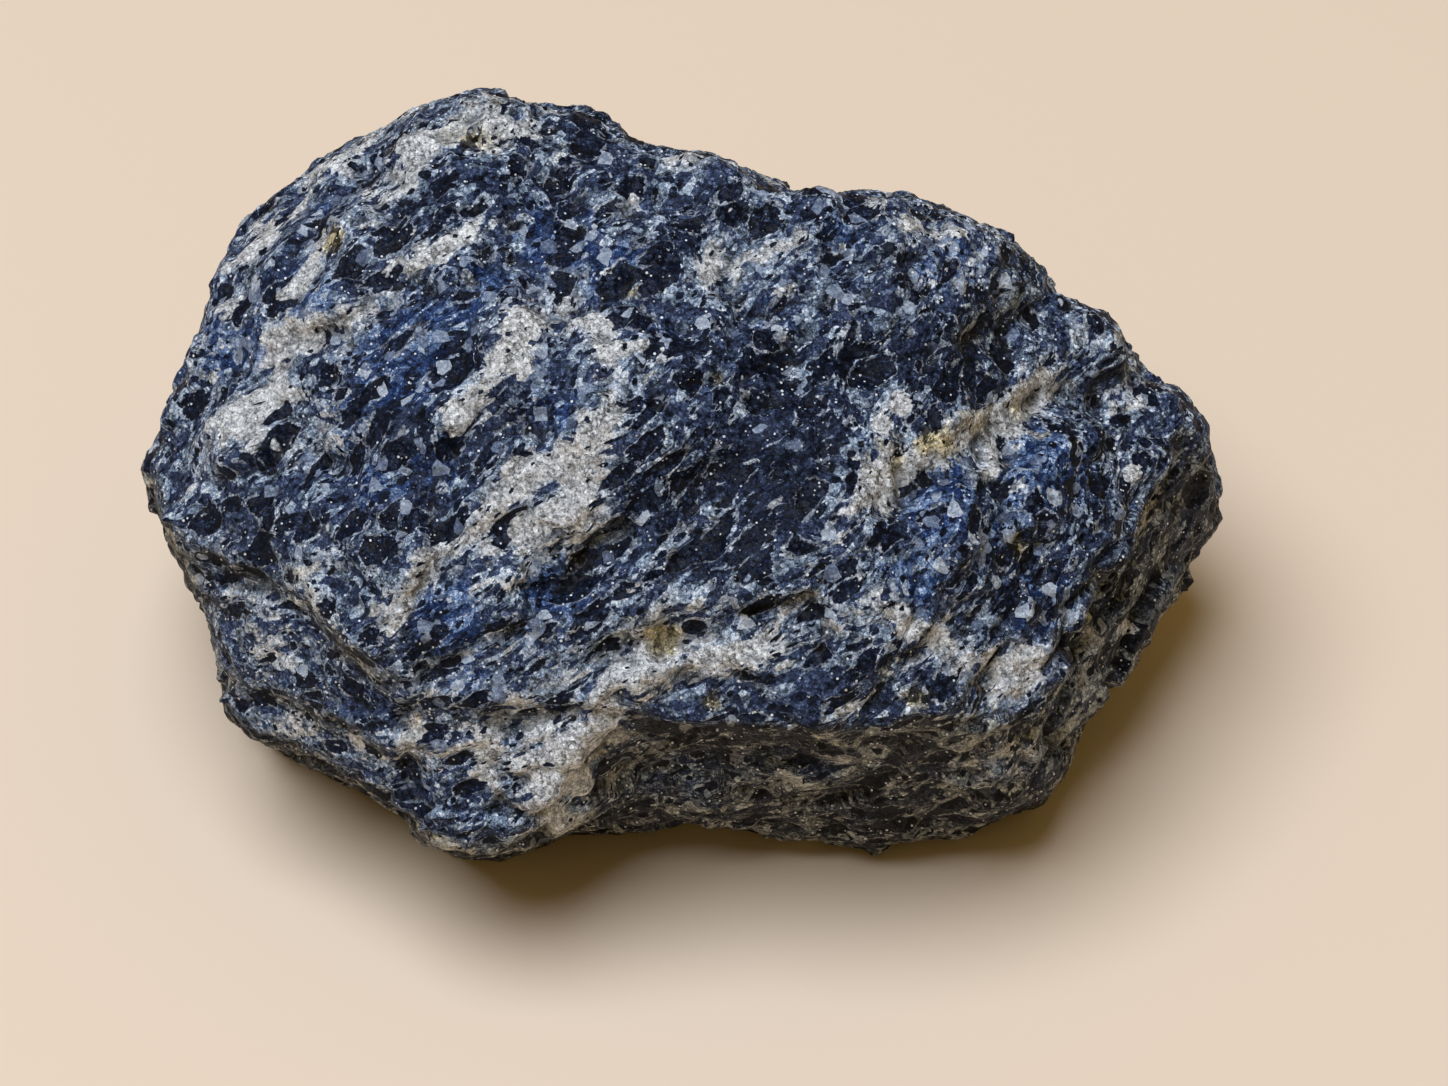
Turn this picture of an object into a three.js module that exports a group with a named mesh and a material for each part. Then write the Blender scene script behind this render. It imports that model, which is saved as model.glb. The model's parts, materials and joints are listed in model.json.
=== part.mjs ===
// A rough hand specimen of dumortierite in quartz: one broken, foliated stone, lying on its flattest side.
// Millimetres, +Z up. The origin is on the surface under the stone, at the middle of its length and depth.
// +X runs along its length and -Y is its front.
import * as THREE from 'three';
import { ImprovedNoise } from 'three/addons/math/ImprovedNoise.js';
import { mergeVertices } from 'three/addons/utils/BufferGeometryUtils.js';

// Driving dimensions, in millimetres and degrees.
const LENGTH = 100; // the stone's rough length, depth and height, by which its mesh is spread over it
const DEPTH = 70;
const HEIGHT = 58;
const HEART = new THREE.Vector3(0, -1, 30); // the point inside the stone from which every face is measured
const VIEW_ELEVATION = 45; // the outline and the marks on the front are measured looking down at this angle
const VIEW_DISTANCE = 507; // and from this far away, so that what is nearer looks larger
const EDGE_SHARPNESS = 60; // higher leaves less rounding on the edges between the broken faces
const MESH_DETAIL = 21; // each edge of the icosahedron that carries the surface is cut this often

// The outline of the stone in the picture plane, as [right, up] from its heart, counter-clockwise.
const OUTLINE = [
  // right end, with its small step
  [50.2, -1.8], [49.2, 0.5], [48.6, 4.2], [45.7, 7.4], [42.8, 8.2],
  // two lumps and the long back edge
  [41.3, 11.6], [39.2, 14.1], [34.7, 16.1], [32.7, 19.4], [29.9, 22.2], [25.7, 23.4], [21.5, 25.6],
  [15, 25.5], [10.8, 25.3], [5.7, 27.6], [2, 29], [-3.6, 29.6],
  // crown
  [-5.5, 31.2], [-8.7, 33.4], [-13.7, 33.5], [-16.5, 34.7], [-20.2, 35], [-24.3, 33.9],
  // left shoulder
  [-27.6, 31.9], [-32.7, 30.3], [-37.8, 25.9], [-41.1, 22.7], [-43.8, 18.1], [-44.7, 14.4], [-47.8, 6.5],
  // left end, with its notch, and the left flank
  [-50.2, 0.5], [-48.7, -4.8], [-47.8, -7.7], [-44.9, -12.1], [-43.5, -16.8], [-41.9, -23],
  // underside, from the left foot to the right one
  [-38.5, -25.5], [-32.8, -28.2], [-26.8, -31.5], [-23.1, -35.1], [-20.3, -36.1], [-17, -36.1],
  [-11.3, -33.8], [-4.2, -33.5], [1.5, -32.1], [4.8, -33.5], [10.9, -34.3], [17.6, -35.5], [26.1, -33.8],
  [33.1, -30.8], [37.9, -22.8], [42.3, -17.4], [47.4, -12.7], [49.2, -9.4],
];

// The broken faces: which way each one faces, by azimuth from +X towards +Y and elevation, and how far it
// lies from the heart.
const LEFT_FLANK = { name: 'left flank', azimuth: -129, elevation: 8, distance: 41 };
const FACES = [
  LEFT_FLANK,
  { name: 'crown', azimuth: -93, elevation: 76, distance: 28 },
  { name: 'crown left', azimuth: 168, elevation: 60, distance: 39 },
  { name: 'left shoulder', azimuth: -140, elevation: 43, distance: 36 },
  { name: 'middle', azimuth: -94, elevation: 48, distance: 28.5 },
  { name: 'centre right', azimuth: -57, elevation: 66, distance: 27.5 },
  { name: 'right slope', azimuth: -30, elevation: 48, distance: 31.5 },
  { name: 'blue block', azimuth: -48, elevation: 34, distance: 34.5 },
  { name: 'lower front', azimuth: -90, elevation: 28, distance: 31 },
  { name: 'front underside', azimuth: -92, elevation: -20, distance: 31 },
  { name: 'flank underside', azimuth: -124, elevation: -26, distance: 43 },
  { name: 'right side', azimuth: -32, elevation: 2, distance: 41 },
  { name: 'back', azimuth: 95, elevation: 5, distance: 38 },
  { name: 'back left', azimuth: 140, elevation: 12, distance: 44 },
  { name: 'back right', azimuth: 48, elevation: -4, distance: 43 },
  { name: 'back underside', azimuth: 85, elevation: -38, distance: 36 },
  { name: 'left underside', azimuth: 178, elevation: -40, distance: 47 },
  { name: 'right underside', azimuth: 5, elevation: -42, distance: 45 },
];

// The foot at the left of the front stands out from the underside as a wedge between these faces.
const FOOT_FACES = [
  LEFT_FLANK,
  { name: 'foot front', azimuth: -94, elevation: 24, distance: 31.4 },
  { name: 'foot right', azimuth: -46, elevation: -7, distance: 18 },
  { name: 'foot top', azimuth: 90, elevation: 80, distance: 5 },
  { name: 'foot back', azimuth: 90, elevation: -20, distance: 3 },
];

// What follows shows only on the front, between these distances in front of the heart's picture plane.
const FRONT_STARTS = -6;
const FRONT_IS_FULL = 4;

// Lumps and hollows of the front, by their place in the picture plane. A hollow has a negative height.
const LUMPS = [
  { name: 'back lump', at: [23, 17], radius: 8, height: 2 },
  { name: 'second lump', at: [38.5, 11], radius: 3.5, height: 1.6 },
  { name: 'end lump', at: [45.5, 3.5], radius: 4, height: 1.8 },
  { name: 'blue block', at: [31, -5], radius: 8, height: 2 },
  { name: 'left knuckle', at: [-39, 0], radius: 6, height: 1.6 },
  { name: 'dark trough', at: [5, -1], radius: 7, height: -2 },
  { name: 'blue hollow', at: [-21, 9.5], radius: 4.5, height: -1.6 },
  { name: 'flank hollow', at: [-36, -13], radius: 6, height: -1.4 },
  { name: 'shelf hollow', at: [26, 9], radius: 4, height: -1.5 },
];

// Creases and ribs of the front, each along a path in the picture plane. A crease has a negative height.
const SEAMS = [
  { name: 'shelf crease', path: [[34.5, 6], [26, 1.5], [19.5, -2.5]], width: 1.8, height: -2.6 },
  { name: 'lump crease', path: [[34.5, 16], [30, 13], [25.5, 11]], width: 1.6, height: -1.8 },
  { name: 'end crease', path: [[42.5, 8], [37.5, 6.5], [34, 6.5]], width: 1.6, height: -2.2 },
  { name: 'side crease', path: [[46, 1], [44.3, -2.5], [38, -13], [36, -18]], width: 1.8, height: -2 },
  { name: 'right rim', path: [[42.5, 0], [40.5, -4], [35.5, -10.5], [33, -18.5]], width: 1.8, height: 1.2 },
  { name: 'front rim', path: [[-4, -21.5], [2.5, -21.5], [14, -23], [31, -21]], width: 1.8, height: 0.9 },
  { name: 'underside crease', path: [[-3, -28], [4, -26], [14, -27], [29, -25.5]], width: 2.2, height: -1.6 },
  { name: 'knuckle rim', path: [[-40, 0.5], [-35, -4.5], [-29, -14], [-23, -21]], width: 2, height: 0.9 },
  { name: 'crown valley', path: [[-3.5, 29.5], [0.5, 23.5], [3.5, 18]], width: 3, height: -1.2 },
  { name: 'front crevice', path: [[-13, -11.5], [-6.5, -6.5]], width: 1.5, height: -2 },
  { name: 'stained crevice', path: [[-7.5, -18], [0, -15]], width: 1.5, height: -2 },
  { name: 'shoulder rib', path: [[-40.5, 3], [-36.5, 12], [-28, 18], [-19.5, 22]], width: 1.7, height: 1.3 },
  { name: 'middle rib', path: [[-20.5, 4], [-17, 10], [-13, 15]], width: 1.8, height: 1.3 },
  { name: 'long rib', path: [[-27.5, -14], [-22, -8], [-16.5, -1.5], [-8, 4]], width: 2, height: 1.4 },
  { name: 'foot rib', path: [[-12.5, -31.5], [-8.5, -23], [-6, -20], [-2, -17.5]], width: 1.8, height: 1.4 },
  { name: 'crown rib', path: [[-36.5, 17], [-30, 23.5], [-24, 31]], width: 1.6, height: 1 },
];

// The foliation: layers this thick, whose broken ends step down across the stone.
const LAYER_FACING = { azimuth: -150, elevation: 65 };
const LAYER_THICKNESS = 8;
const LAYER_STEP = 1;
const LAYER_RISER = 0.25; // the share of each layer in which it steps up again
const LAYER_WAVER = 0.6; // in layers

// Roughness of the broken surface, from coarse to fine, and the pits left by grains that broke out.
const ROUGHNESS = [
  { spacing: 15, height: 1.4 },
  { spacing: 7, height: 0.8 },
  { spacing: 4, height: 0.5 },
];
const RIM_ROUGHNESS = 0.4; // the share of it that shows along the outline
const PIT_SPACING = 6;
const PIT_DEPTH = 1.1;
const PIT_RIM = 0.3; // a pit starts where the noise passes its rim, and is deepest past its floor
const PIT_FLOOR = 0.6;

const { degToRad, smoothstep } = THREE.MathUtils;
const perlin = new ImprovedNoise();

// A unit vector that faces an azimuth from +X towards +Y and an elevation.
function facing({ azimuth, elevation }) {
  const level = Math.cos(degToRad(elevation));
  const turn = degToRad(azimuth);
  return new THREE.Vector3(level * Math.cos(turn), level * Math.sin(turn), Math.sin(degToRad(elevation)));
}

// The picture plane: out of it towards the viewer, and right and up in it.
const toward = facing({ azimuth: -90, elevation: VIEW_ELEVATION });
const right = new THREE.Vector3(1, 0, 0);
const up = new THREE.Vector3().crossVectors(toward, right);

const layerNormal = facing(LAYER_FACING);

// Smooth noise from -1 to 1 with lumps about one spacing apart.
function noiseAt(point, spacing) {
  return perlin.noise(point.x / spacing, point.y / spacing, point.z / spacing);
}

// How far along a direction from the heart the line of sight past the outline is met.
function outlineReach(direction) {
  const x = direction.dot(right);
  const y = direction.dot(up);
  for (let i = 0; i < OUTLINE.length; i++) {
    const [ax, ay] = OUTLINE[i];
    const [bx, by] = OUTLINE[(i + 1) % OUTLINE.length];
    const afterStart = ax * y - ay * x;
    const beforeEnd = x * by - y * bx;
    if (afterStart < 0 || beforeEnd <= 0) continue;
    const inPlane = (ax * by - ay * bx) / (afterStart + beforeEnd);
    const nearing = 1 + (inPlane * direction.dot(toward)) / VIEW_DISTANCE;
    if (nearing > 0) return inPlane / nearing;
  }
  return LENGTH;
}

// The distance from the heart to a set of broken faces along a direction, with rounded edges between them.
function facesReach(faces, direction) {
  let sum = 0;
  for (const face of faces) {
    const slant = facing(face).dot(direction);
    if (slant > 0) sum += Math.pow(slant / face.distance, EDGE_SHARPNESS);
  }
  return Math.pow(sum, -1 / EDGE_SHARPNESS);
}

// The distance in the picture plane from (x, y) to a path.
function distanceToPath(x, y, path) {
  let nearest = Infinity;
  for (let i = 1; i < path.length; i++) {
    const [ax, ay] = path[i - 1];
    const [dx, dy] = [path[i][0] - ax, path[i][1] - ay];
    const along = THREE.MathUtils.clamp(((x - ax) * dx + (y - ay) * dy) / (dx * dx + dy * dy), 0, 1);
    nearest = Math.min(nearest, Math.hypot(x - ax - along * dx, y - ay - along * dy));
  }
  return nearest;
}

// How much the lumps, creases and ribs of the front raise a point of the broken surface.
function frontRelief(point) {
  const onFront = smoothstep(point.dot(toward), FRONT_STARTS, FRONT_IS_FULL);
  if (onFront === 0) return 0;
  const x = point.dot(right);
  const y = point.dot(up);
  let relief = 0;
  for (const { at, radius, height } of LUMPS) {
    relief += height * Math.exp(-Math.pow(Math.hypot(x - at[0], y - at[1]) / radius, 2));
  }
  for (const { path, width, height } of SEAMS) {
    relief += height * Math.exp(-Math.pow(distanceToPath(x, y, path) / width, 2));
  }
  return onFront * relief;
}

// How much the layers, the roughness and the pits raise a point of the broken surface.
function roughRelief(point) {
  const layer = point.dot(layerNormal) / LAYER_THICKNESS + LAYER_WAVER * noiseAt(point, 3 * LAYER_THICKNESS);
  const part = layer - Math.floor(layer);
  const fall = part / (1 - LAYER_RISER);
  const rise = (1 - part) / LAYER_RISER;
  let relief = LAYER_STEP * (0.5 - Math.min(fall, rise));
  for (const { spacing, height } of ROUGHNESS) relief += height * noiseAt(point, spacing);
  return relief - PIT_DEPTH * smoothstep(noiseAt(point, PIT_SPACING), PIT_RIM, PIT_FLOOR);
}

// The stone's surface: a fine ball whose points are moved out from the heart to the broken faces, roughened,
// and cut off flat at the bottom.
function stoneGeometry() {
  const sphere = new THREE.IcosahedronGeometry(1, MESH_DETAIL);
  sphere.deleteAttribute('normal');
  sphere.deleteAttribute('uv');
  const geometry = mergeVertices(sphere);
  const spread = new THREE.Vector3(LENGTH, DEPTH, HEIGHT);
  const place = geometry.getAttribute('position');
  const direction = new THREE.Vector3();
  const point = new THREE.Vector3();
  for (let i = 0; i < place.count; i++) {
    direction.fromBufferAttribute(place, i).multiply(spread).normalize();
    const outline = outlineReach(direction);
    const faces = Math.max(facesReach(FACES, direction), facesReach(FOOT_FACES, direction));
    point.copy(direction).multiplyScalar(Math.min(faces, outline));
    const rough = roughRelief(point);
    let reach = Math.min(faces + frontRelief(point) + rough, outline + RIM_ROUGHNESS * rough);
    if (direction.z < 0) reach = Math.min(reach, HEART.z / -direction.z);
    point.copy(direction).multiplyScalar(reach).add(HEART);
    place.setXYZ(i, point.x, point.y, point.z);
  }
  geometry.computeVertexNormals();
  return geometry;
}

const stone = new THREE.Mesh(
  stoneGeometry(),
  new THREE.MeshStandardMaterial({ color: 0x46527a, roughness: 0.75, metalness: 0 }),
);
stone.name = 'stone';

const specimen = new THREE.Group();
specimen.add(stone);

export default specimen;
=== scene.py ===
# %% [markdown]
# # A rough piece of dumortierite
# Dumortierite is a blue mineral that grows through quartz. This stone was broken off a vein: dark blue
# clots and paler blue flakes lie in sugary grey quartz, pressed into slanting layers. The solid of the
# stone is already made, at its real size. Here its surface gets the fine relief, the minerals and the
# stains. Lengths are in millimetres until they reach Blender, which works in metres.

# %% Load the solid
import json
import math
import bpy
import numpy as np
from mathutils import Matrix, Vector

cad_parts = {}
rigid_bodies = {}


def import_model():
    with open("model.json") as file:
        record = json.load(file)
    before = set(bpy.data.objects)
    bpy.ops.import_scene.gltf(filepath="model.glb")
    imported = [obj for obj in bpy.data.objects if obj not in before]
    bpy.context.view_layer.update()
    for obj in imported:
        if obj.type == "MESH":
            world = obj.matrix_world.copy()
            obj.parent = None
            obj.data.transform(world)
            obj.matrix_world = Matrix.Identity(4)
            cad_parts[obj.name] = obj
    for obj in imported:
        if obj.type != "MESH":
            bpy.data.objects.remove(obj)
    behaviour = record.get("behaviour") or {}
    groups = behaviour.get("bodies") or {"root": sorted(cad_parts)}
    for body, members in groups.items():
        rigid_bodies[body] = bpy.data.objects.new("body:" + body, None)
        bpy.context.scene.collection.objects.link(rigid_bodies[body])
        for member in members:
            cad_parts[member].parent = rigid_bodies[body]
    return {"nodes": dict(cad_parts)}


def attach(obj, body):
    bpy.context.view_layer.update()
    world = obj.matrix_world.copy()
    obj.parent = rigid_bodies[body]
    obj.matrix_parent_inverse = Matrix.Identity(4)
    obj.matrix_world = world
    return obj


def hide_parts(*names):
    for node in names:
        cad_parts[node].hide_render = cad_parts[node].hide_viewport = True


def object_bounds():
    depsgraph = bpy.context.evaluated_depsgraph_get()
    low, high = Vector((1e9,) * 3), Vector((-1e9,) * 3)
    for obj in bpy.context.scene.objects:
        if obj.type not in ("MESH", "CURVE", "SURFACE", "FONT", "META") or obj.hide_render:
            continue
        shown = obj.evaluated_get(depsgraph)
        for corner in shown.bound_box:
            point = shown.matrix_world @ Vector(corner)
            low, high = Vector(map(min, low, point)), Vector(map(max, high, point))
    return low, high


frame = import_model()
cad_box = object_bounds()
MM = 0.001
solid = frame["nodes"]["stone"]
solid_size = [round(side / MM, 1) for side in cad_box[1] - cad_box[0]]
print("solid", solid_size, "mm,", len(solid.data.polygons), "triangles")

# %% [markdown]
# ## The camera
# The stone is seen from the front and half from above. A camera could be aimed by eye, but every mark on
# the stone is measured in the picture, so its place is worked out: it looks just beside the stone's
# heart, the point inside the stone from which its faces are measured, along a line that slopes down by 45
# degrees. A long lens keeps the shape calm.

# %% Camera
HEART = Vector((0, -1, 30)) * MM
VIEW_ELEVATION = math.radians(45)
LENS_MM = 135
SENSOR_MM = 36
PHOTO_WIDTH = 1448
PIXELS_PER_MM = 10.7
AXIS_RIGHT = 3.74
AXIS_UP = -6.8
VIEW_DISTANCE = PHOTO_WIDTH * LENS_MM / (SENSOR_MM * PIXELS_PER_MM)

RIGHT = Vector((1, 0, 0))
TOWARD = Vector((0, -math.cos(VIEW_ELEVATION), math.sin(VIEW_ELEVATION)))
UP = TOWARD.cross(RIGHT)

bpy.ops.object.select_all(action="DESELECT")
bpy.ops.object.camera_add(
    location=HEART + (RIGHT * AXIS_RIGHT + UP * AXIS_UP + TOWARD * VIEW_DISTANCE) * MM,
    rotation=(math.pi / 2 - VIEW_ELEVATION, 0, 0),
)
camera = bpy.context.object
camera.name = "camera"
camera.data.lens = LENS_MM
camera.data.sensor_width = SENSOR_MM
camera.data.clip_start = 0.01
bpy.context.scene.camera = camera
print("camera", round(VIEW_DISTANCE), "mm from the stone's heart")

# %% [markdown]
# ## Floor and light
# The stone lies on plain warm paper. One large soft lamp stands high, to the left and a little to the
# front, so that the top is bright, the front underside is dark and the shadow stays soft and close. Its
# light is slightly cool, and a faint warm sky fills the shadows, as light does that comes back from a
# warm room. A small lamp would draw a hard edge on the paper. The floor is far larger than the picture,
# so that no edge of it shows from any side.

# %% Colours from screen values
def screen(red, green, blue):
    """A colour given as it looks on a screen, from 0 to 255, in Blender's linear light."""
    linear = []
    for value in (red / 255, green / 255, blue / 255):
        linear.append(value / 12.92 if value <= 0.04045 else ((value + 0.055) / 1.055) ** 2.4)
    return (*linear, 1.0)


# %% Floor, lamp and sky
FLOOR_SIZE = 6.0
LAMP_PLACE = Vector((-0.36, -0.30, 1.50))
LAMP_SIZE = 1.15
LAMP_WATTS = 30
LAMP_COLOUR = (0.82, 0.91, 1.04)
SKY_COLOUR = (1.0, 0.72, 0.26, 1.0)
SKY_STRENGTH = 0.25

bpy.ops.mesh.primitive_plane_add(size=FLOOR_SIZE)
floor = bpy.context.object
floor.name = "floor"
paper = bpy.data.materials.new("paper")
paper.use_nodes = True
paper_shader = paper.node_tree.nodes["Principled BSDF"]
paper_shader.inputs["Base Color"].default_value = screen(222, 202, 181)
paper_shader.inputs["Roughness"].default_value = 0.9
paper_shader.inputs["Specular IOR Level"].default_value = 0.1
floor.data.materials.append(paper)

bpy.ops.object.light_add(type="AREA", location=LAMP_PLACE)
lamp = bpy.context.object
lamp.name = "soft_lamp"
lamp.data.shape = "DISK"
lamp.data.size = LAMP_SIZE
lamp.data.energy = LAMP_WATTS
lamp.data.color = LAMP_COLOUR
lamp.rotation_euler = (HEART - LAMP_PLACE).to_track_quat("-Z", "Y").to_euler()

sky = bpy.data.worlds.new("pale_sky")
sky.use_nodes = True
sky.node_tree.nodes["Background"].inputs["Color"].default_value = SKY_COLOUR
sky.node_tree.nodes["Background"].inputs["Strength"].default_value = SKY_STRENGTH
bpy.context.scene.world = sky
bpy.context.scene.view_settings.view_transform = "Standard"
print("lamp", round((LAMP_PLACE - HEART).length, 2), "m from the stone")

# %% [markdown]
# ## The stone's skin
# The solid has flat triangles of two or three millimetres, too coarse for broken rock. A copy of it is
# merged into one skin, rebuilt by a voxel remesh into even squares of about half a millimetre, and
# smoothed a little where the triangles meet. Subdividing instead would round the broken edges and leave
# long thin triangles, and the relief would tear there.

# %% Copy the solid and remesh it
SKIN_VOXEL = 0.57 * MM
MERGE_DISTANCE = 0.001 * MM


def apply_modifier(kind, **settings):
    """Adds a modifier to the active object with its settings, and applies it."""
    bpy.ops.object.modifier_add(type=kind)
    modifier = bpy.context.object.modifiers[-1]
    for name, value in settings.items():
        setattr(modifier, name, value)
    bpy.ops.object.modifier_apply(modifier=modifier.name)


bpy.ops.object.select_all(action="DESELECT")
solid.select_set(True)
bpy.context.view_layer.objects.active = solid
bpy.ops.object.duplicate()
stone = bpy.context.object
stone.name = "rough_stone"
stone.data.name = "rough_stone"
bpy.ops.object.parent_clear(type="CLEAR_KEEP_TRANSFORM")
bpy.ops.mesh.customdata_custom_splitnormals_clear()
bpy.ops.object.mode_set(mode="EDIT")
bpy.ops.mesh.select_all(action="SELECT")
bpy.ops.mesh.remove_doubles(threshold=MERGE_DISTANCE)
bpy.ops.object.mode_set(mode="OBJECT")
apply_modifier("REMESH", mode="VOXEL", voxel_size=SKIN_VOXEL)
apply_modifier("SMOOTH", factor=0.5, iterations=2)
bpy.ops.object.shade_smooth()
print("skin", len(stone.data.vertices), "points")

# %% [markdown]
# ## Where the minerals lie
# The grain of the rock can be left to noise, but the pale quartz ribs, the blue patches and the iron stains
# have places of their own on this stone. They are painted one by one: each one is a short path or a spot,
# measured in millimetres right and up from the heart in the picture, and stored on the skin as a soft mask.
# The relief and the material read these masks, so the marks stay on the stone from every side.

# %% Points of the skin as the picture shows them
VIEW_EDGE = 0.05
VIEW_FADE = 0.25
place = np.empty(len(stone.data.vertices) * 3)
stone.data.vertices.foreach_get("co", place)
place = place.reshape(-1, 3) / MM - np.array(HEART) / MM
facing = np.empty(len(stone.data.vertices) * 3)
stone.data.vertex_normals.foreach_get("vector", facing)
facing = facing.reshape(-1, 3)

nearer = VIEW_DISTANCE / (VIEW_DISTANCE - place @ np.array(TOWARD))
picture_right = AXIS_RIGHT + (place @ np.array(RIGHT) - AXIS_RIGHT) * nearer
picture_up = AXIS_UP + (place @ np.array(UP) - AXIS_UP) * nearer
in_view = np.clip((facing @ np.array(TOWARD) + VIEW_EDGE) / VIEW_FADE, 0, 1)
print("in view", round(100 * float((in_view > 0.5).mean())), "% of the skin")


# %% Soft spots and paths
def spots(marks):
    """A mask with a soft spot for each (right, up, radius, strength)."""
    mask = np.zeros(len(place))
    for right, up, radius, strength in marks:
        away = np.hypot(picture_right - right, picture_up - up) / radius
        mask = np.maximum(mask, strength * np.exp(-away**2))
    return mask * in_view


# Paths wander by up to a millimetre, in waves of two lengths, so that no rib runs straight.
WIDE_WAVE = 0.6
FINE_WAVE = 0.4
wander_right = picture_right + WIDE_WAVE * np.sin(picture_up + 0.4 * picture_right)
wander_right += FINE_WAVE * np.sin(2.3 * picture_up - 0.9 * picture_right)
wander_up = picture_up + WIDE_WAVE * np.sin(0.9 * picture_right - 0.5 * picture_up + 1)
wander_up += FINE_WAVE * np.sin(2.1 * picture_right + 0.8 * picture_up + 2)
HALO_WIDTH = 2.6


def paths(marks, halo=0.0):
    """A mask with a soft, wandering line for each (points, half width, strength), and a wide, faint halo."""
    mask = np.zeros(len(place))
    for points, width, strength in marks:
        for (ax, ay), (bx, by) in zip(points, points[1:]):
            dx, dy = bx - ax, by - ay
            along = ((wander_right - ax) * dx + (wander_up - ay) * dy) / (dx * dx + dy * dy)
            along = np.clip(along, 0, 1)
            away = np.hypot(wander_right - ax - along * dx, wander_up - ay - along * dy) / width
            line = (1 - halo) * np.exp(-away**2) + halo * np.exp(-(away / HALO_WIDTH) ** 2)
            mask = np.maximum(mask, strength * line)
    return mask * in_view


PAINTED_FROM = 0.4


def store(name, mask):
    """Keeps a mask on the skin, where the relief and the material can read it."""
    kept = stone.data.attributes.new(name, "FLOAT", "POINT")
    kept.data.foreach_set("value", mask.astype(np.float32))
    print("mask", name, "covers", round(100 * float((mask > PAINTED_FROM).mean()), 1), "%")


# %% Quartz ribs
ribs_painted = paths([
    ([(-40.5, 3), (-38.5, 8), (-36.5, 12), (-31, 14.5), (-28, 18), (-24.5, 20.5), (-19.5, 22)], 1.5, 1.0),
    ([(-41, 20), (-38, 24), (-33, 28.5), (-29, 32)], 1.3, 0.8),
    ([(-36.5, 17), (-33.5, 21.5), (-30, 23.5), (-26.5, 27), (-24, 31)], 1.3, 0.8),
    ([(-24, 31), (-21, 33), (-16, 33.5), (-13, 31)], 1.8, 0.8),
    ([(-20.5, 4), (-19, 7.5), (-17, 10), (-14, 13), (-13, 15)], 1.9, 1.0),
    ([(-14, 12.5), (-9, 13.5), (-5.5, 11.5)], 1.1, 0.8),
    ([(-27.5, -14), (-25.5, -11), (-22, -8), (-18.5, -5), (-16.5, -1.5), (-13, 0.5), (-8, 4)], 1.9, 1.0),
    ([(-15, -5), (-11, -3), (-9, -1)], 2.3, 0.85),
    ([(-12.5, -31.5), (-10.5, -27.5), (-8.5, -23.5), (-6.5, -20), (-2, -17.5)], 1.5, 1.4),
    ([(-12, -31), (-16, -31.5), (-18.5, -29), (-18.5, -25.5), (-16.5, -23), (-12.5, -22.5)], 0.8, 0.7),
    ([(14.5, -6.5), (16.5, -3), (19.5, 0), (23, 2), (27, 4), (31, 5.5), (33.5, 7.5)], 2.0, 1.0),
    ([(-38, 1), (-33, 2.5), (-31, 4)], 1.5, 0.7),
    ([(18, 25), (22, 23.5), (24, 22)], 1.3, 0.8),
    ([(2, 19), (7, 20), (12, 21.5)], 1.1, 0.7),
    ([(20, 7), (21.5, 6)], 1.2, 0.8),
    ([(21, -14), (25, -17), (30, -19), (32.5, -18)], 1.6, 0.8),
    ([(0, -20), (5, -17), (9, -14.5), (12, -12)], 1.2, 0.7),
    ([(-25, -26), (-26, -23), (-24, -21)], 1.0, 0.7),
], halo=0.25)
# Pale spots: pale quartz, and on the left flank also painted light.
pale_areas_and_light = spots([
    (-38, -14, 5, 0.30), (-15, -20, 6, 0.48), (-33, 14, 4, 0.40), (10, 18, 4, 0.30), (24, 22, 4, 0.30),
    (-41, -1, 4, 0.25), (6, -11, 4, 0.30), (18, -12, 4, 0.30), (-42, 14, 4, 0.25), (-30, -8, 4, 0.30),
])
store("quartz_ribs_and_light", np.maximum(ribs_painted, pale_areas_and_light))
store("foot_ridge", paths([
    ([(-13, -31.5), (-10.5, -27.5), (-8.5, -23.5), (-6.5, -20), (-3, -18)], 1.3, 1.0),
]))

# %% Blue patches, and dark patches with painted shade
store("blue_patches", spots([
    (-27, 9.5, 5, 1.0), (-24, 12.5, 4, 0.9), (-19, 17.5, 4.5, 0.7), (-11, 20, 6, 0.7), (-6, 19, 4, 0.6),
    (-2, 13, 4, 0.5), (-22, -14, 4.5, 0.8), (-20, -18, 4, 0.6), (-29, -2, 4, 0.6), (-14, -15, 4, 0.5),
    (24, -3, 4.5, 0.9), (22, -10, 4, 0.8), (34, -1, 5, 1.0), (32, 3, 3, 0.8), (33, -12, 4, 0.9),
    (25, 20, 5, 0.6), (-36, 16, 5, 0.7), (-42, 12, 5, 0.7), (-12, 6, 5, 0.5), (8, 14, 4, 0.5),
    (-31, 5, 4, 0.6), (-34, 24, 4, 0.5), (-24, 0, 4, 0.6), (-12, -12, 5, 0.6), (28, -7, 4, 0.8),
    (14, 22, 5, 0.5),
]))
# Dark patches: partly dark grains, partly painted shade in hollows.
store("dark_ground_and_shade", spots([
    (-19.5, 9.5, 3, 1.0), (-24, 3.2, 2.6, 1.0), (-16, 5.5, 2.5, 0.8), (-1, -3, 5, 0.9), (5, 1, 5, 0.9),
    (10, -1, 5, 0.9), (12, 3, 4, 0.8), (9, 7.5, 4, 0.8), (3, -7, 4, 0.7), (25, 10, 5, 0.9), (20, 10, 4, 0.7),
    (-9, 31, 4, 0.7), (-22, 23.5, 2.5, 0.7), (0, 21, 2.5, 0.8), (-31, 18.5, 2, 0.6), (-35, 9, 2.5, 0.6),
    (-39.5, 17, 2.5, 0.5), (-29, -10, 3, 0.5), (31, -7.5, 2.5, 0.8), (3, -24, 4, 0.5), (36, -3, 3, 0.5),
    (33, -12, 3, 0.6), (22, -23.5, 3, 0.5), (12, -24.5, 3, 0.5), (40, -10, 3, 0.6), (8, -15, 3, 0.5),
    (14, -17, 3, 0.5),
]))
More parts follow.
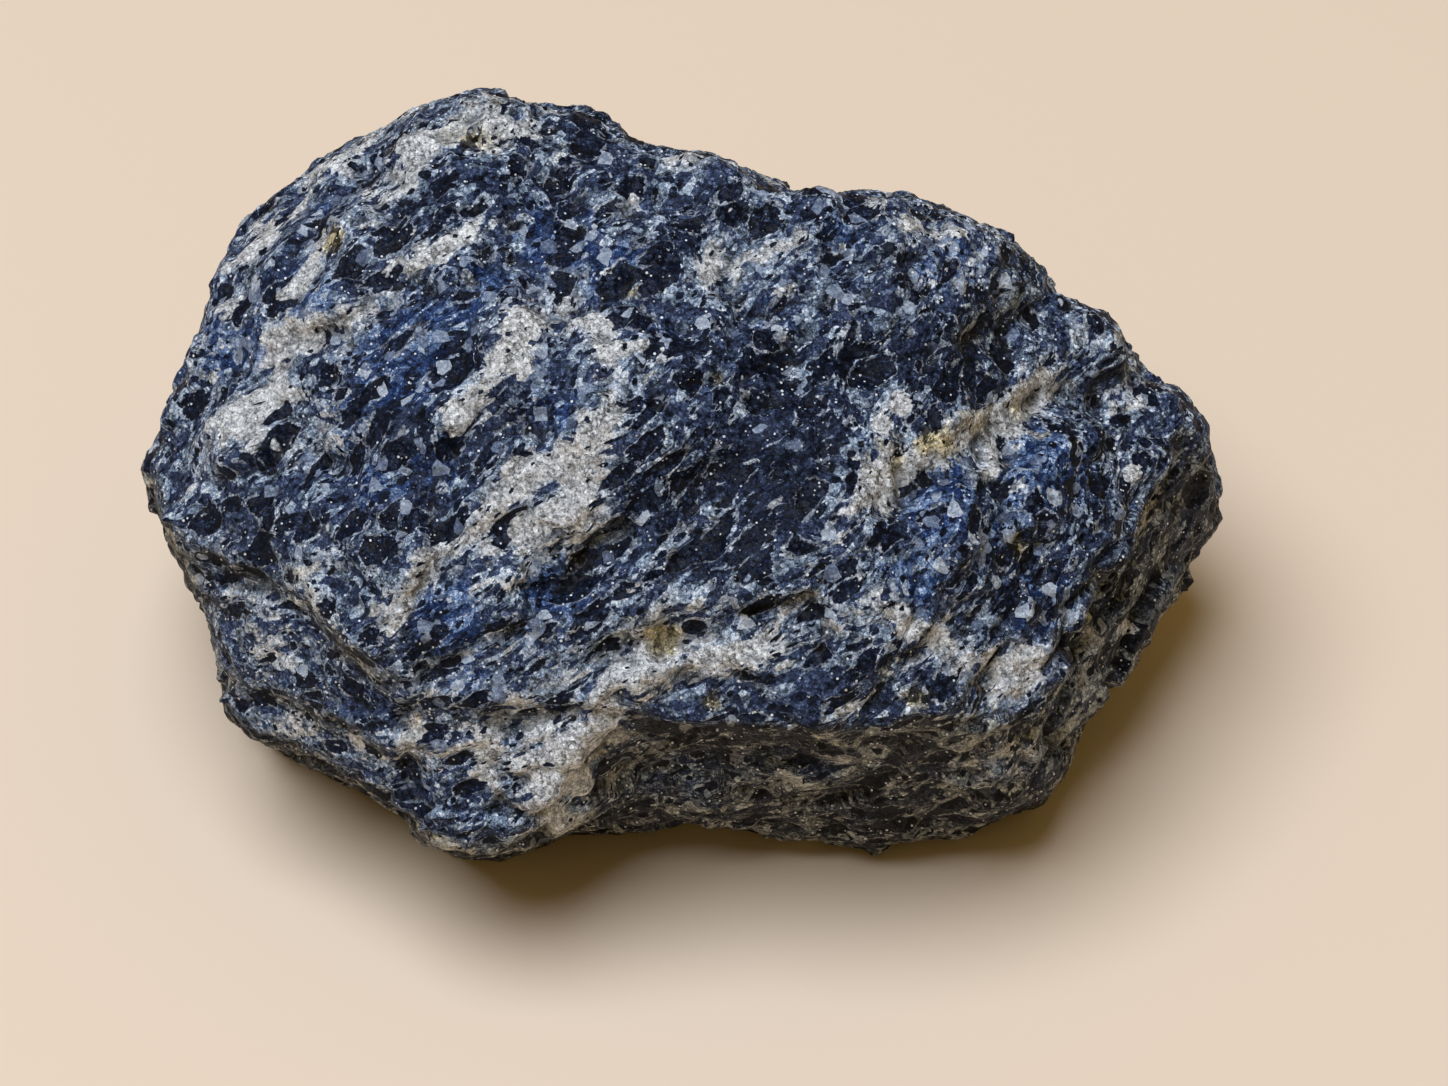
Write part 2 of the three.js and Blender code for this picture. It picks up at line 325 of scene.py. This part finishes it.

# %% Earthy tint and painted shade on the underside, the right side and the left flank
UNDER_START = 0.15
UNDER_FADE = 0.4
RIGHT_SIDE = np.array((0.77, -0.64, 0.06))
RIGHT_START = 0.84
RIGHT_FADE = 0.12
RIGHT_EARTH_AND_SHADE = 0.6
# The underside and the right side face away from the lamp, so the earthy tint laid on them is partly a
# painted shade.
under_earth_and_shade = np.clip((UNDER_START - facing[:, 2]) / UNDER_FADE, 0, 1)
right_earth_and_shade = np.clip((facing @ RIGHT_SIDE - RIGHT_START) / RIGHT_FADE, 0, RIGHT_EARTH_AND_SHADE)
left_earth_and_shade = spots([(-41, -4, 6, 0.5), (-34, -8, 4, 0.4)])
store("earth_and_shade", np.maximum(np.maximum(under_earth_and_shade, right_earth_and_shade), left_earth_and_shade))

# %% Creases, chips and iron stains
store("creases", paths([
    ([(33, 3), (21.5, -2), (17.4, -3.5)], 1.2, 0.5),
    ([(-14, -11.3), (-9.8, -9.2), (-6.5, -5.9)], 0.8, 1.0),
    ([(-5, -17.4), (-0.3, -15.6)], 0.8, 0.9),
    ([(1, 8), (6, 9.5), (11.5, 12.5)], 0.6, 0.8),
    ([(43.5, -1.5), (41, -6), (37, -12.5), (35, -18)], 0.8, 1.0),
]))
store("white_chips", spots([
    (-30.4, -25.2, 0.9, 1.0), (42, -0.2, 0.9, 1.0), (32, -17.4, 1.2, 1.0), (20.2, 6.2, 1.1, 1.0),
    (41.6, -14.7, 0.8, 1.0), (18.6, 4.2, 1.0, 0.9),
]))
store("iron_stain", spots([
    (-33, 21.5, 2.5, 0.8), (-20, 31, 4, 0.6), (23.5, 2.8, 2.2, 1.0), (-2.2, -15.8, 2.4, 1.0),
    (2.5, -21.4, 1.8, 0.9), (-9.6, -8.4, 1.6, 0.8), (3.4, 8.9, 1.5, 0.6), (9.9, 12.2, 1.5, 0.6),
    (-5, 16.8, 1.5, 0.6), (-7.8, 8.4, 1.5, 0.6), (31.4, -7, 1.5, 0.9), (20, 0.8, 2.2, 0.6),
    (27.5, 4.2, 2.4, 0.7), (31.5, 6, 2, 0.6), (7, -20.5, 2.5, 0.6), (13, -20.5, 2, 0.5), (22, -21, 2.5, 0.7),
    (27.5, -20, 2, 0.6), (-12, 30, 3, 0.5), (-35, -5, 2.5, 0.5), (-25, -23.5, 2, 0.5),
]))

# %% [markdown]
# ## Node helpers
# The relief is made by geometry nodes and the colours by shader nodes. Both kinds of tree hold the same
# noise, cell and math nodes, so a few short helpers build them in either one. An input is a plain value
# or another node's socket.

# %% Helpers for both kinds of tree
def add(tree, kind, inputs=None, **settings):
    """A new node with its settings, and its inputs by name or number."""
    made = tree.nodes.new(kind)
    for name, value in settings.items():
        setattr(made, name, value)
    for key, value in (inputs or {}).items():
        if isinstance(value, bpy.types.NodeSocket):
            tree.links.new(value, made.inputs[key])
        else:
            made.inputs[key].default_value = value
    return made


def calc(tree, operation, *values):
    """One sum, product or other calculation on numbers."""
    return add(tree, "ShaderNodeMath", dict(enumerate(values)), operation=operation).outputs[0]


def total(tree, *terms):
    """The sum of (amount, value) terms."""
    result = 0.0
    for amount, value in terms:
        result = calc(tree, "MULTIPLY_ADD", value, amount, result)
    return result


def shift(tree, operation, *values):
    """One calculation on vectors, which puts out a vector."""
    return add(tree, "ShaderNodeVectorMath", dict(enumerate(values)), operation=operation).outputs["Vector"]


def dot(tree, one, other):
    """How far one vector reaches along another."""
    inputs = {0: one, 1: other}
    return add(tree, "ShaderNodeVectorMath", inputs, operation="DOT_PRODUCT").outputs["Value"]


def longer(tree, vector, amount):
    """A vector times a number."""
    inputs = {0: vector, "Scale": amount}
    return add(tree, "ShaderNodeVectorMath", inputs, operation="SCALE").outputs["Vector"]


def between(tree, value, low, high):
    """A smooth change from 0 to 1 while the value goes from low to high."""
    inputs = {"Value": value, "From Min": low, "From Max": high}
    return add(tree, "ShaderNodeMapRange", inputs, interpolation_type="SMOOTHSTEP").outputs["Result"]


def noise(tree, place, size, detail=2.0, roughness=0.5):
    """Smooth noise around 0.5, with lumps of about the given size."""
    inputs = {"Vector": place, "Scale": 1 / size, "Detail": detail, "Roughness": roughness}
    return add(tree, "ShaderNodeTexNoise", inputs).outputs[0]


def drift(tree, place, size, amount):
    """A place moved by noise, which bends what is drawn there."""
    inputs = {"Vector": place, "Scale": 1 / size, "Detail": 1.0}
    away = shift(tree, "SUBTRACT", add(tree, "ShaderNodeTexNoise", inputs).outputs[1], (0.5, 0.5, 0.5))
    return shift(tree, "ADD", place, longer(tree, away, 2 * amount))


def cells(tree, place, size):
    """Random cells of about the given size: their distance, colour and place."""
    return add(tree, "ShaderNodeTexVoronoi", {"Vector": place, "Scale": 1 / size}).outputs


# %% [markdown]
# ## The minerals
# Pressed rock is layered, so its grains are thin across the layers and longest along their strike, the
# level line in them. The pattern is therefore drawn in a space that is squeezed in those two directions
# and bent by noise. Four things lie side by side: clear pale quartz, slate-coloured flakes full of fine
# blue needles, dark blue ground and smooth dark clots. The quartz lies where a noise and the painted
# zones pass a limit. The flakes also take a chance from random cells, and each clot is a rounded grain
# inside a cell of its own, because noise alone looks like clouds. A hard limit gives the crisp, lobed
# edges of real grains, which a soft mix would blur.

# %% Layers and strike
LAYER_AZIMUTH = math.radians(-150)
LAYER_ELEVATION = math.radians(65)
LAYER_NORMAL = (
    math.cos(LAYER_ELEVATION) * math.cos(LAYER_AZIMUTH),
    math.cos(LAYER_ELEVATION) * math.sin(LAYER_AZIMUTH),
    math.sin(LAYER_ELEVATION),
)
STRIKE = (0.80, 0.42, 0.42)


def flattened(tree, place, across, along):
    """The place in a space where grains are thinner across the layers and longer along their strike."""
    thin = calc(tree, "MULTIPLY", dot(tree, place, LAYER_NORMAL), across - 1)
    long = calc(tree, "MULTIPLY", dot(tree, place, STRIKE), 1 / along - 1)
    place = shift(tree, "ADD", place, longer(tree, LAYER_NORMAL, thin))
    return shift(tree, "ADD", place, longer(tree, STRIKE, long))


# %% Zones and dark grains
BAND_SIZE = 9.0


def zones(tree, banded, mask):
    """How pale the rock is, around 0.5: bands of noise, and the painted ribs, hollows and patches."""
    return total(
        tree,
        (0.75, noise(tree, banded, BAND_SIZE, 2)),
        (0.32, mask("quartz_ribs_and_light")),
        (-0.20, mask("dark_ground_and_shade")),
        (-0.07, mask("blue_patches")),
        (0.125, 1.0),
    )


def dark_grains(tree, bent, size, zone, start):
    """Above 0 inside rounded dark grains, one to a cell, which are larger where the rock is darker."""
    cell = cells(tree, bent, size)
    chance = dot(tree, cell["Color"], (0, 1, 0))
    uneven = noise(tree, bent, 0.4 * size, 3, 0.6)
    return total(
        tree, (-1.0, cell["Distance"]), (0.35, chance), (0.60, uneven), (-0.65, zone), (start, 1.0)
    )


# %% Quartz, slate and clots
LOBE_SIZE = 2.2
FLAKE_SIZE = 0.8
CLOT_SIZE = 3.0
CLEAR_LIMITS = (1.12, 1.15)
SLATE_LIMITS = (0.925, 0.945)
CLOT_LIMITS = (-0.02, 0.02)
CLOT_START = 0.20


def minerals(tree, bent, zone):
    """Masks of the clear quartz, the slate and the dark clots, and the fields of the clots and the lobes."""
    lobes = noise(tree, bent, LOBE_SIZE, 3, 0.58)
    clear = between(tree, total(tree, (1.0, zone), (0.9, lobes)), *CLEAR_LIMITS)
    chance = dot(tree, cells(tree, bent, FLAKE_SIZE)["Color"], (1, 0, 0))
    slate = between(tree, total(tree, (0.8, zone), (0.7, lobes), (0.35, chance)), *SLATE_LIMITS)
    clot_field = dark_grains(tree, bent, CLOT_SIZE, zone, CLOT_START)
    clots = between(tree, clot_field, *CLOT_LIMITS)
    return clear, slate, clots, clot_field, lobes


# %% [markdown]
# ## The relief
# The skin gets its shape from geometry nodes: broken facets at three sizes, thin ledges where the layers
# end, hard quartz and flakes that stand proud, and clots that have worn back. The solid already has the
# large ribs, so they are lowered a little, and the quartz ridge at the front foot is raised. Each point
# moves along its own normal. A bump in the material alone would leave the outline smooth. The facets come
# from random cells, each with its own tilt.

# %% Facets and ledges
FACET_SQUEEZE = (1.5, 1.0)


def tilted(tree, place, cell, slope):
    """Heights of flat facets, one to a cell, each with its own tilt."""
    tilt = shift(tree, "SUBTRACT", cell["Color"], (0.5, 0.5, 0.5))
    away = shift(tree, "SUBTRACT", place, cell["Position"])
    return calc(tree, "MULTIPLY", dot(tree, tilt, away), 2 * slope)


def facets(tree, place, size, slope):
    """Heights of a broken surface with facets of about the given size."""
    place = flattened(tree, drift(tree, place, size, size / 6), *FACET_SQUEEZE)
    return tilted(tree, place, cells(tree, place, size), slope)


def ledges(tree, place, height):
    """A saw-tooth from -0.5 to 0.5 across the layers: each one slopes down to the foot of the next."""
    across = calc(tree, "DIVIDE", dot(tree, place, LAYER_NORMAL), height)
    return calc(tree, "SUBTRACT", 0.5, calc(tree, "FRACT", across))


# %% [markdown]
# ## Layers on the top and on the underside
# On the underside and the right side the layers are seen from their edge, and the squeeze that suits the
# top would draw thin threads there. The pattern could be faded from one space to another, but that smears
# it. So the place is chosen outright for each point: on those sides the space is squeezed less and its
# grains are larger, which gives lenses.

# %% Relief tree and bent places
TOP_SQUEEZE = (1.6, 1.7)
TOP_BANDS = (2.4, 1.8)
UNDER_SQUEEZE = (1.3, 1.3)
UNDER_BANDS = (1.5, 1.4)
UNDER_SCALE = 0.65
UNDER_LIMIT = 0.5
BENDS = ((7.0, 2.0), (1.6, 0.25))
BAND_BEND = (9.0, 2.5)

relief = bpy.data.node_groups.new("stone_relief", "GeometryNodeTree")
relief.interface.new_socket(name="Geometry", in_out="INPUT", socket_type="NodeSocketGeometry")
relief.interface.new_socket(name="Geometry", in_out="OUTPUT", socket_type="NodeSocketGeometry")


def relief_mask(name):
    """A painted mask, as the relief reads it."""
    return add(relief, "GeometryNodeInputNamedAttribute", {"Name": name}, data_type="FLOAT").outputs[0]


spot = add(relief, "GeometryNodeInputPosition").outputs[0]
spot_mm = longer(relief, spot, 1 / MM)
under = calc(relief, "GREATER_THAN", relief_mask("earth_and_shade"), UNDER_LIMIT)


def choose(top_place, under_place):
    """One place on most of the stone, and another where its layers are seen from their edge."""
    change = shift(relief, "SUBTRACT", under_place, top_place)
    return shift(relief, "ADD", top_place, longer(relief, change, under))


under_spot = longer(relief, flattened(relief, spot_mm, *UNDER_SQUEEZE), UNDER_SCALE)
bent_spot = choose(flattened(relief, spot_mm, *TOP_SQUEEZE), under_spot)
for size, amount in BENDS:
    bent_spot = drift(relief, bent_spot, size, amount)
banded_spot = choose(flattened(relief, spot_mm, *TOP_BANDS), flattened(relief, spot_mm, *UNDER_BANDS))
zone = zones(relief, drift(relief, banded_spot, *BAND_BEND), relief_mask)
print("places bent in", len(BENDS), "sizes")

# %% Height of the relief
FACETS = ((9.0, 0.14), (3.6, 0.14), (1.6, 0.16))
LEDGE_HEIGHT = 3.4
LEDGE_STEP = 0.20
LEDGE_BEND = (9.0, 1.6)
QUARTZ_PROUD = 0.12
RIB_SINK = 0.35
FOOT_RIDGE = 1.2
SLATE_PROUD = 0.12
CLOT_DEPTH = 0.22
CREASE_DEPTH = 1.3
BASE_START = 0.2
BASE_END = 2.0

clear, slate, clots, _, _ = minerals(relief, bent_spot, zone)
ledge = ledges(relief, drift(relief, spot_mm, *LEDGE_BEND), LEDGE_HEIGHT)
ledge = calc(relief, "MULTIPLY", ledge, calc(relief, "SUBTRACT", 1.0, clear))
height = total(
    relief,
    (LEDGE_STEP, ledge),
    (QUARTZ_PROUD, clear),
    (-RIB_SINK, relief_mask("quartz_ribs_and_light")),
    (FOOT_RIDGE, relief_mask("foot_ridge")),
    (SLATE_PROUD, slate),
    (-CLOT_DEPTH, clots),
    (-CREASE_DEPTH, relief_mask("creases")),
    *[(1, facets(relief, spot_mm, size, slope)) for size, slope in FACETS],
)
above_base = between(relief, dot(relief, spot_mm, (0, 0, 1)), BASE_START, BASE_END)
height = calc(relief, "MULTIPLY", height, above_base)
print("facets of", [size for size, slope in FACETS], "mm")

# %% [markdown]
# ## Moving the skin
# The tree moves every point by its height and keeps on the skin what the colours need: the bent place, the
# zone, the depth of each hollow, which sets the painted shade in the hollows, and a blurred mask of the
# earthy tint and painted shade. They could be worked out again in the material, but there the surface has
# moved already, and the colours would slip off their grains. A last light smoothing takes the burrs off.

# %% Move the skin and keep what the colours need
BLUR_STEPS = 12


def keep(geometry, name, value, kind):
    """Stores a value on every point of the skin, where the materials can read it."""
    inputs = {"Geometry": geometry, "Name": name, "Value": value}
    return add(relief, "GeometryNodeStoreNamedAttribute", inputs, data_type=kind, domain="POINT").outputs[0]


normal = add(relief, "GeometryNodeInputNormal").outputs[0]
skin = add(relief, "NodeGroupInput").outputs[0]
skin = keep(skin, "bent_place", bent_spot, "FLOAT_VECTOR")
skin = keep(skin, "zone", zone, "FLOAT")
skin = add(relief, "GeometryNodeSetPosition", {
    "Geometry": skin,
    "Offset": longer(relief, normal, calc(relief, "MULTIPLY", height, MM)),
}).outputs[0]
around = {"Value": spot_mm, "Iterations": BLUR_STEPS}
blurred = add(relief, "GeometryNodeBlurAttribute", around, data_type="FLOAT_VECTOR")
depth = dot(relief, shift(relief, "SUBTRACT", blurred.outputs[0], spot_mm), normal)
skin = keep(skin, "hollow", depth, "FLOAT")
earth_and_shade_around = {"Value": relief_mask("earth_and_shade"), "Iterations": BLUR_STEPS}
broad_earth_and_shade = add(relief, "GeometryNodeBlurAttribute", earth_and_shade_around)
skin = keep(skin, "earth_and_shade", broad_earth_and_shade.outputs[0], "FLOAT")
add(relief, "NodeGroupOutput", {0: skin})
apply_modifier("NODES", node_group=relief)
apply_modifier("SMOOTH", factor=0.5, iterations=2)
stone.data.calc_loop_triangles()
print("relief applied,", len(stone.data.loop_triangles), "triangles")

# %% [markdown]
# ## The rock's colours
# One material holds the whole rock. It reads the same minerals as the relief, and each one has a short
# ramp of colours from its darkest to its lightest grain, because a single colour with noise over it looks
# painted. The grains are small random cells: sugary quartz is a heap of crystals a third of a millimetre
# wide, each as light or dark as it happens to lie.

# %% Ramps and mixes
def ramp(tree, value, *shades):
    """A colour that goes evenly through the given screen colours while the value goes from 0 to 1."""
    made = add(tree, "ShaderNodeValToRGB", {0: value})
    points = made.color_ramp.elements
    while len(points) < len(shades):
        points.new(0.5)
    for number, (point, shade) in enumerate(zip(points, shades)):
        point.position = number / (len(shades) - 1)
        point.color = screen(*shade)
    return made.outputs["Color"]


def mix(tree, amount, under, over, blend="MIX"):
    """One colour over another."""
    made = add(tree, "ShaderNodeMix", {0: amount, 6: under, 7: over}, data_type="RGBA", blend_type=blend)
    return made.outputs[2]


def channels(tree, colour):
    """The three random numbers that a cell's colour holds."""
    return add(tree, "ShaderNodeSeparateColor", {0: colour}).outputs


rock = bpy.data.materials.new("dumortierite_rock")
rock.use_nodes = True
paint = rock.node_tree
rock_shader = paint.nodes["Principled BSDF"]


def paint_mask(name, output="Fac"):
    """A painted mask, as the material reads it."""
    return add(paint, "ShaderNodeAttribute", attribute_name=name).outputs[output]


here_mm = longer(paint, add(paint, "ShaderNodeTexCoord").outputs["Object"], 1 / MM)
bent = paint_mask("bent_place", "Vector")
print("material", rock.name)

# %% Grains
CHUNK_SIZE = 0.75
CRUMB_SIZE = 0.36
DUST_SIZE = 0.30
SPARK_SIZE = 0.15
STAIN_SIZE = 2.2
chunks = cells(paint, here_mm, CHUNK_SIZE)
chunk = channels(paint, chunks["Color"])
crumbs = cells(paint, here_mm, CRUMB_SIZE)
crumb = channels(paint, crumbs["Color"])
dust = noise(paint, here_mm, DUST_SIZE, 2, 0.6)
spark = noise(paint, here_mm, SPARK_SIZE, 0)
grain_light = total(
    paint,
    (0.46, crumb[0]),
    (0.22, chunk[1]),
    (0.8, dust),
    (0.5, spark),
    (-0.3, crumbs["Distance"]),
    (-0.38, 1.0),
)
stain_noise = noise(paint, here_mm, STAIN_SIZE, 3, 0.65)
print("grains of", CRUMB_SIZE, "and", CHUNK_SIZE, "mm")

# %% Ramps of the quartz, the flakes, the ground and the clots
clear_light = total(paint, (1.0, grain_light), (0.7, stain_noise), (-0.36, 1.0))
clear_colour = ramp(
    paint, clear_light, (82, 82, 84), (138, 139, 141), (182, 182, 184), (214, 214, 215), (250, 250, 250)
)
flake_kind = channels(paint, cells(paint, bent, FLAKE_SIZE)["Color"])
flake_light = total(paint, (1.0, grain_light), (0.5, flake_kind[1]), (-0.27, 1.0))
slate_colour = ramp(
    paint, flake_light, (31, 37, 48), (70, 81, 98), (111, 125, 145), (158, 171, 188), (222, 226, 231)
)
blue_flake = ramp(
    paint, flake_light, (25, 37, 62), (44, 63, 101), (66, 90, 134), (105, 130, 169), (192, 203, 219)
)
ground = ramp(
    paint, grain_light, (16, 20, 33), (29, 37, 57), (47, 58, 85), (76, 89, 120), (138, 150, 174)
)
blue_ground = ramp(
    paint, grain_light, (10, 17, 33), (18, 31, 61), (30, 49, 90), (52, 77, 122), (120, 140, 176)
)
clot_colour = ramp(
    paint, grain_light, (4, 6, 13), (8, 12, 23), (14, 21, 38), (27, 37, 60), (74, 87, 114)
)
print("ramps for quartz, slate, blue flakes, ground, blue ground and clots")

# %% [markdown]
# ## Laying the minerals on each other
# The masks say which ramp shows where. Slate turns paler towards the ribs, flakes and ground turn blue
# inside the painted patches, and the ground takes the clot colour in the dark patches, which are partly dark
# grains and partly painted shade in hollows. The order matters: clear quartz comes last, because the veins
# cut through everything else. One big mix by a single noise would be shorter, but then all edges would run
# in parallel.

# %% Quartz over clots over flakes over ground
PALE_LIMITS = (0.76, 0.98)
BLUE_LIMITS = (0.36, 0.60)
zone = paint_mask("zone")
blues = paint_mask("blue_patches")
clear, slate, clots, clot_field, lobes = minerals(paint, bent, zone)
paleness = between(paint, total(paint, (1.0, zone), (0.4, stain_noise)), *PALE_LIMITS)
slate_colour = mix(paint, paleness, slate_colour, clear_colour)
blue_edge = between(paint, total(paint, (1.0, blues), (1.2, lobes), (-0.6, 1.0)), *BLUE_LIMITS)
ground = mix(paint, blue_edge, ground, blue_ground)
# Painted shade and dark grains: in the dark patches the ground takes the clot colour.
ground = mix(paint, calc(paint, "MULTIPLY", paint_mask("dark_ground_and_shade"), 0.85), ground, clot_colour)
flake_colour = mix(paint, calc(paint, "MULTIPLY", blue_edge, 0.8), slate_colour, blue_flake)
colour = mix(paint, slate, ground, flake_colour)
colour = mix(paint, clots, colour, clot_colour)
colour = mix(paint, clear, colour, clear_colour)
print("minerals laid on each other")

# %% [markdown]
# ## Rims, dots and crystals
# On the real stone thin pale quartz runs around many clots, small dark grains lie between them, and here
# and there a single pale crystal shows its whole face. A rim is the strip just outside a clot, so the
# field that made the clot also gives the rim. The dots are clots at a smaller size. The crystals are a
# few random cells, picked by chance, and the blue patches have more of them.

# %% Pale rims around the clots, and small dark dots
RIM_SIZE = 2.0
DOT_SIZE = 0.85
DOT_START = 0.14
DOT_LIMITS = (-0.03, 0.03)
rim_width = total(paint, (0.45, noise(paint, here_mm, RIM_SIZE, 2)), (-0.16, 1.0))
rim = calc(paint, "GREATER_THAN", total(paint, (1.0, clot_field), (1.0, rim_width)), 0.0)
rim = calc(paint, "MULTIPLY", rim, between(paint, clot_field, 0.0, -0.02))
rim_colour = mix(paint, 0.4, slate_colour, clear_colour)
colour = mix(paint, calc(paint, "MULTIPLY", rim, 0.65), colour, rim_colour)
dots = between(paint, dark_grains(paint, bent, DOT_SIZE, zone, DOT_START), *DOT_LIMITS)
colour = mix(paint, dots, colour, clot_colour)
print("dots of", DOT_SIZE, "mm")

# %% Pale crystals
CRYSTAL_SIZE = 1.1
CRYSTAL_BEND = (0.8, 0.12)
CRYSTAL_LIMITS = (0.975, 0.985)
crystals = cells(paint, drift(paint, here_mm, *CRYSTAL_BEND), CRYSTAL_SIZE)
crystal_kind = channels(paint, crystals["Color"])
crystal_chance = total(paint, (1.0, crystal_kind[2]), (0.16, blues), (-0.5, clear))
crystal = between(paint, crystal_chance, *CRYSTAL_LIMITS)
crystal_light = total(paint, (0.6, crystal_kind[0]), (0.6, grain_light), (-0.10, 1.0))
crystal_colour = ramp(
    paint, crystal_light, (66, 78, 104), (112, 124, 148), (158, 168, 184), (206, 211, 218)
)
colour = mix(paint, calc(paint, "MULTIPLY", crystal, 0.85), colour, crystal_colour)
print("crystals of", CRYSTAL_SIZE, "mm")

# %% [markdown]
# ## Stain, earthy tint and painted shade
# Iron has stained a few pockets ochre. The underside, the right side and a patch of the left flank get an
# earthy tint that also darkens them, partly a painted shade, because most of these sides face away from the
# lamp. The hollows get painted shade. Flat brown laid over the grains would hide them. So the stain keeps
# each grain's lightness and changes only its hue, the earthy tint turns each grain brown and darker, and
# only the painted shade in the hollows is a plain dark colour.

# %% Stain, earthy tint and painted shade
STAIN_LIMITS = (0.05, 0.55)
EARTH_AND_SHADE_LIMITS = (0.1, 0.9)
HOLLOW_SHADE_LIMITS = (0.08, 0.40)
# Red passes 255, so that stained quartz is a little brighter than clean quartz.
OCHRE = screen(264, 245, 196)
EARTH_AND_SHADE = screen(208, 200, 172)
# Painted shade for the hollows, a plain dark colour.
HOLLOW_SHADE = screen(24, 22, 20)
lightness = add(paint, "ShaderNodeRGBToBW", {0: colour}).outputs[0]
stain = total(paint, (1.0, paint_mask("iron_stain")), (1.2, stain_noise), (-0.95, 1.0))
stain = between(paint, stain, *STAIN_LIMITS)
ochre = mix(paint, 1.0, lightness, OCHRE, "MULTIPLY")
colour = mix(paint, stain, colour, ochre)
ribs = paint_mask("quartz_ribs_and_light")
# Earthy tint and painted shade: on the sides turned from the lamp each grain turns brown and darker.
earth_and_shade = total(paint, (1.0, paint_mask("earth_and_shade")), (0.8, stain_noise), (-0.9, ribs), (-0.45, 1.0))
earth_and_shade = between(paint, earth_and_shade, *EARTH_AND_SHADE_LIMITS)
earthy_and_shaded = mix(paint, 1.0, lightness, EARTH_AND_SHADE, "MULTIPLY")
colour = mix(paint, calc(paint, "MULTIPLY", earth_and_shade, 0.75), colour, earthy_and_shaded)
# Painted shade: the hollows, where shade falls, are darkened towards a plain dark colour.
hollow_shade = total(paint, (1.0, paint_mask("hollow")), (0.6, stain_noise), (-0.3, 1.0))
hollow_shade = between(paint, hollow_shade, *HOLLOW_SHADE_LIMITS)
colour = mix(paint, calc(paint, "MULTIPLY", hollow_shade, 0.5), colour, HOLLOW_SHADE)
print("stain, earth and dirt laid over the grains")

# %% [markdown]
# ## Chips, pinholes and glints
# Fresh chips show white quartz. Some crumbs have fallen out and left pinholes, and others turn a face to
# the light and glint. Real sparkle needs tiny mirrors, which a render can only show as noise, so a glint
# is a small pale grain that is also a little smoother than the rest.

# %% Chips, pinholes and glints
CHIP_LIMITS = (0.50, 0.56)
CORE_LIMITS = (0.05, -0.05)
GLINT_LIMITS = (0.87, 0.88)
PINHOLE_LIMITS = (0.16, 0.15)
GLINT = screen(226, 230, 236)
chip = between(paint, total(paint, (1.0, paint_mask("white_chips")), (0.3, chunk[0])), *CHIP_LIMITS)
colour = mix(paint, chip, colour, clear_colour)
grain_radius = total(paint, (0.22, crumb[2]), (0.14, 1.0))
past_grain = calc(paint, "SUBTRACT", crumbs["Distance"], grain_radius)
grain_core = between(paint, past_grain, *CORE_LIMITS)
glint = calc(paint, "MULTIPLY", between(paint, crumb[1], *GLINT_LIMITS), grain_core)
pinhole = calc(paint, "MULTIPLY", between(paint, crumb[1], *PINHOLE_LIMITS), grain_core)
colour = mix(paint, calc(paint, "MULTIPLY", pinhole, 0.7), colour, clot_colour)
colour = mix(paint, calc(paint, "MULTIPLY", glint, crumb[2]), colour, GLINT)
paint.links.new(colour, rock_shader.inputs["Base Color"])
print("colour linked")

# %% [markdown]
# ## Gloss and grain
# Broken rock is dull, but clots are smoother than quartz and glints are smoother still. The finest grain,
# under a millimetre, is a bump: as geometry it would take millions of triangles. Its facets come from the
# same crumbs and chunks as the colours, so light and colour change at the same edges.

# %% Gloss and grain
CHUNK_SLOPE = 0.30
CRUMB_SLOPE = 0.35
BUMP_STRENGTH = 0.85
gloss = total(paint, (-0.30, glint), (-0.15, clots), (0.3, dust), (0.45, 1.0))
paint.links.new(gloss, rock_shader.inputs["Roughness"])
rock_shader.inputs["Specular IOR Level"].default_value = 0.1
grain = total(
    paint,
    (1.0, tilted(paint, here_mm, chunks, CHUNK_SLOPE)),
    (1.0, tilted(paint, here_mm, crumbs, CRUMB_SLOPE)),
    (0.10, dust),
)
bump = add(paint, "ShaderNodeBump", {"Height": grain, "Strength": BUMP_STRENGTH, "Distance": MM})
paint.links.new(bump.outputs["Normal"], rock_shader.inputs["Normal"])
stone.data.materials.clear()
stone.data.materials.append(rock)
print("nodes in the rock's material", len(paint.nodes))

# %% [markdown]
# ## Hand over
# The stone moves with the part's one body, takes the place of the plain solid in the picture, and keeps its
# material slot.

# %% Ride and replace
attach(stone, "root")
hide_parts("stone")
